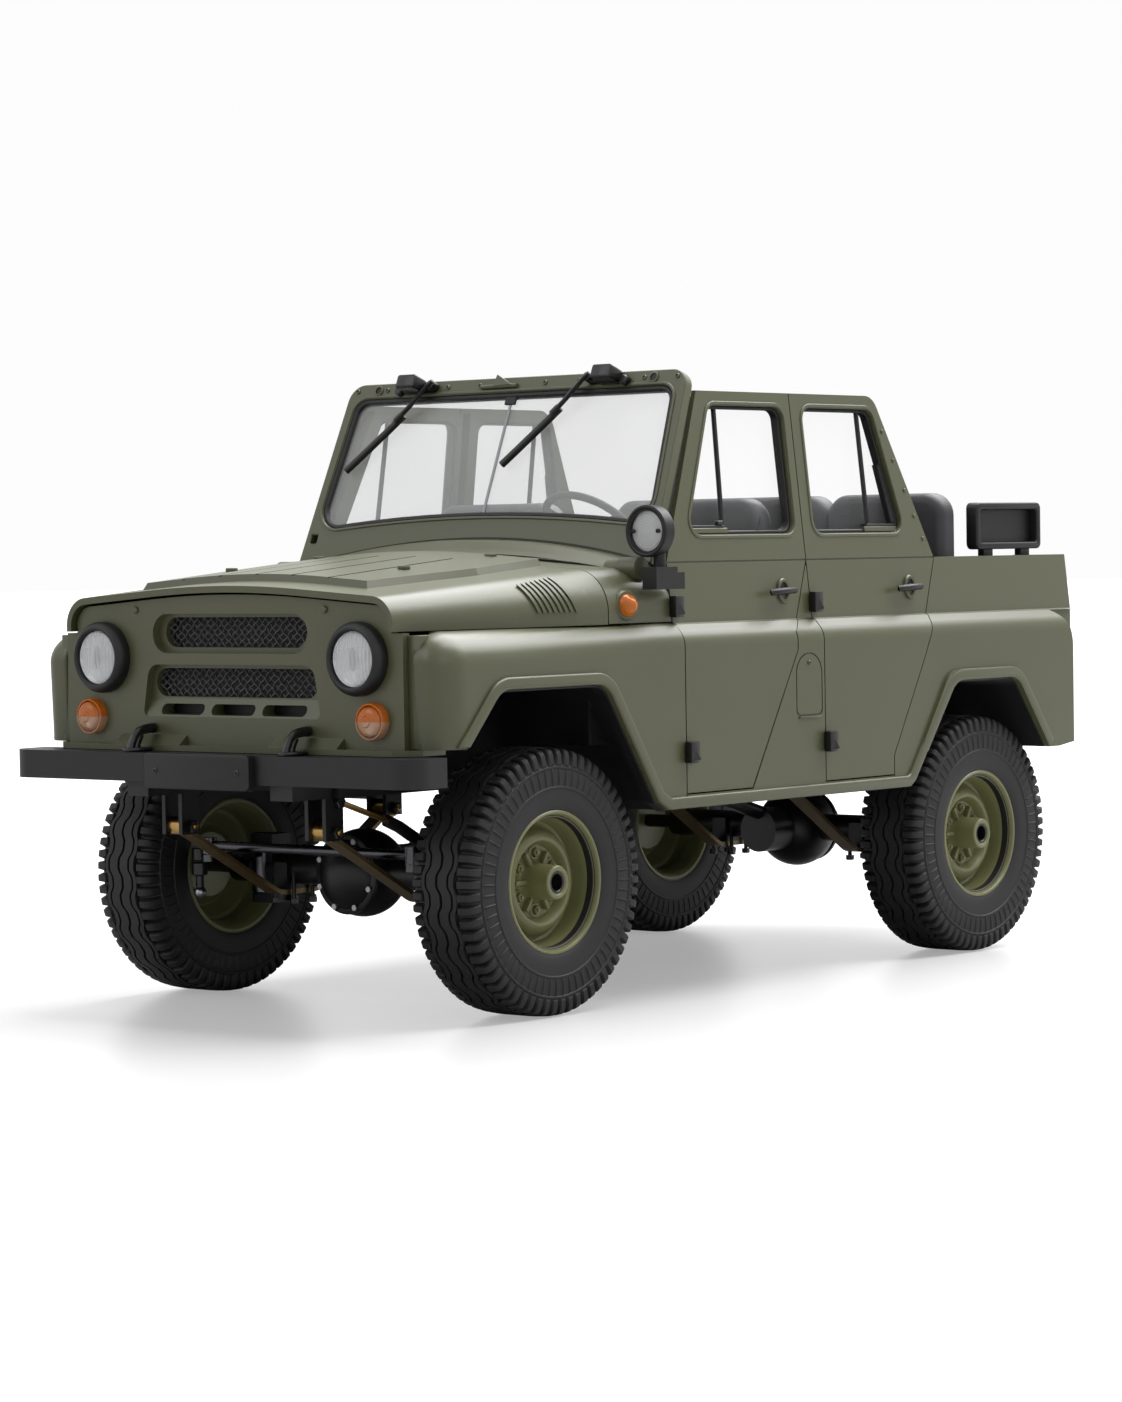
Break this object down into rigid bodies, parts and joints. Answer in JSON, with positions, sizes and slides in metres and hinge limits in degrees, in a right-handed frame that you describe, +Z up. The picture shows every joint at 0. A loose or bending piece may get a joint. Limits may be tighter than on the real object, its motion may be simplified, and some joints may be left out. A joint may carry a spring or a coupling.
{
  "type": "scale model army four-wheel-drive car",
  "caption": "Hobby scale model of an open-topped army four-wheel-drive car with opening doors, bonnet and tailgate, and steered front wheels on leaf-sprung axles.",
  "frame": {"origin": "on the ground, under the middle of the model's bounding box", "axes": "+Z up, +Y along the model's length towards its tail, so the front looks to -Y, and +X towards its left side"},
  "size_m": [0.1822, 0.4024, 0.2084],
  "materials": {
    "army_green": "satin olive green paint",
    "clear_plastic": "clear polished",
    "black_plastic": "moulded, fine grain",
    "black_mesh": "woven mesh, matt",
    "tyre_rubber": "soft matt rubber",
    "green_wheel": "satin olive green paint",
    "lamp_lens": "clear fluted",
    "orange_lens": "clear orange",
    "lamp_ring": "matt, moulded",
    "seat_grey": "matt moulded",
    "frame_black": "satin black",
    "motor_metal": "machined",
    "steel": "bare, machined"
  },
  "bodies": {
    "body": {"body_side_left": "army_green", "body_side_right": "army_green", "rear_wheel_wells": "army_green", "floor_pan": "black_plastic", "front_wheel_wells": "black_plastic", "cowl": "army_green", "dashboard": "black_plastic", "front_fender_left": "army_green", "front_fender_right": "army_green", "front_panel": "army_green", "grille_mesh": "black_mesh", "front_bumper": "black_plastic", "tow_hooks": "black_plastic", "headlamp_rings": "lamp_ring", "lamp_lenses": "lamp_lens", "search_lamp": "black_plastic", "turn_lamps": "orange_lens", "steering_wheel": "black_plastic", "front_seats": "seat_grey", "rear_bench": "seat_grey", "side_seat_backs": "black_plastic", "windscreen_frame": "army_green", "windscreen_glass": "clear_plastic", "wiper_motors": "black_plastic", "chassis_frame": "frame_black", "motor_and_gearbox": "motor_metal", "rear_axle": "frame_black", "front_axle": "frame_black", "leaf_springs": "frame_black", "driveshafts": "steel"},
    "bonnet": {"bonnet": "army_green"},
    "door_front_left": {"door_front_left": "army_green", "window_front_left": "clear_plastic", "door_front_left_fittings": "black_plastic"},
    "door_front_right": {"door_front_right": "army_green", "window_front_right": "clear_plastic", "door_front_right_fittings": "black_plastic"},
    "door_rear_left": {"door_rear_left": "army_green", "window_rear_left": "clear_plastic", "door_rear_left_fittings": "black_plastic"},
    "door_rear_right": {"door_rear_right": "army_green", "window_rear_right": "clear_plastic", "door_rear_right_fittings": "black_plastic"},
    "tailgate": {"tailgate": "army_green", "spare_tyre": "tyre_rubber", "spare_rim": "green_wheel"},
    "knuckle_left": {"knuckle_left": "steel"},
    "knuckle_right": {"knuckle_right": "steel"},
    "tie_rod": {"tie_rod": "steel"},
    "wheel_front_left": {"tyre_front_left": "tyre_rubber", "rim_front_left": "green_wheel"},
    "wheel_front_right": {"tyre_front_right": "tyre_rubber", "rim_front_right": "green_wheel"},
    "wheel_rear_left": {"tyre_rear_left": "tyre_rubber", "rim_rear_left": "green_wheel"},
    "wheel_rear_right": {"tyre_rear_right": "tyre_rubber", "rim_rear_right": "green_wheel"}
  },
  "joints": [
    {"name": "door_front_left_hinge", "type": "hinge", "parent": "body", "child": "door_front_left", "pos_m": [0.0898, -0.0665, 0.104], "axis": [0, 0, -1], "range_deg": [0, 70]},
    {"name": "door_rear_left_hinge", "type": "hinge", "parent": "body", "child": "door_rear_left", "pos_m": [0.0898, 0.01, 0.104], "axis": [0, 0, -1], "range_deg": [0, 70]},
    {"name": "door_front_right_hinge", "type": "hinge", "parent": "body", "child": "door_front_right", "pos_m": [-0.0898, -0.0665, 0.104], "axis": [0, 0, 1], "range_deg": [0, 70]},
    {"name": "door_rear_right_hinge", "type": "hinge", "parent": "body", "child": "door_rear_right", "pos_m": [-0.0898, 0.01, 0.104], "axis": [0, 0, 1], "range_deg": [0, 70]},
    {"name": "bonnet_hinge", "type": "hinge", "parent": "body", "child": "bonnet", "pos_m": [0, -0.0983, 0.1465], "axis": [-1, 0, 0], "range_deg": [0, 60]},
    {"name": "tailgate_hinge", "type": "hinge", "parent": "body", "child": "tailgate", "pos_m": [0, 0.176, 0.07], "axis": [-1, 0, 0], "range_deg": [0, 90]},
    {"name": "steer_left", "type": "hinge", "parent": "body", "child": "knuckle_left", "pos_m": [0.045, -0.125, 0.0424], "axis": [0, 0, 1], "range_deg": [-25, 25]},
    {"name": "steer_right", "type": "hinge", "parent": "body", "child": "knuckle_right", "pos_m": [-0.045, -0.125, 0.0424], "axis": [0, 0, 1], "range_deg": [-25, 25]},
    {"name": "tie_rod_pivot", "type": "hinge", "parent": "knuckle_left", "child": "tie_rod", "pos_m": [0.045, -0.151, 0.0514], "axis": [0, 0, 1], "range_deg": [-25, 25]},
    {"name": "wheel_front_left_spin", "type": "hinge", "parent": "knuckle_left", "child": "wheel_front_left", "pos_m": [0.07, -0.125, 0.0424], "axis": [1, 0, 0], "continuous": true},
    {"name": "wheel_front_right_spin", "type": "hinge", "parent": "knuckle_right", "child": "wheel_front_right", "pos_m": [-0.07, -0.125, 0.0424], "axis": [1, 0, 0], "continuous": true},
    {"name": "wheel_rear_left_spin", "type": "hinge", "parent": "body", "child": "wheel_rear_left", "pos_m": [0.07, 0.113, 0.0424], "axis": [1, 0, 0], "continuous": true},
    {"name": "wheel_rear_right_spin", "type": "hinge", "parent": "body", "child": "wheel_rear_right", "pos_m": [-0.07, 0.113, 0.0424], "axis": [1, 0, 0], "continuous": true}
  ],
  "couplings": [
    {"joint": "steer_right", "follows": "steer_left", "ratio": 1},
    {"joint": "tie_rod_pivot", "follows": "steer_left", "ratio": -1}
  ]
}
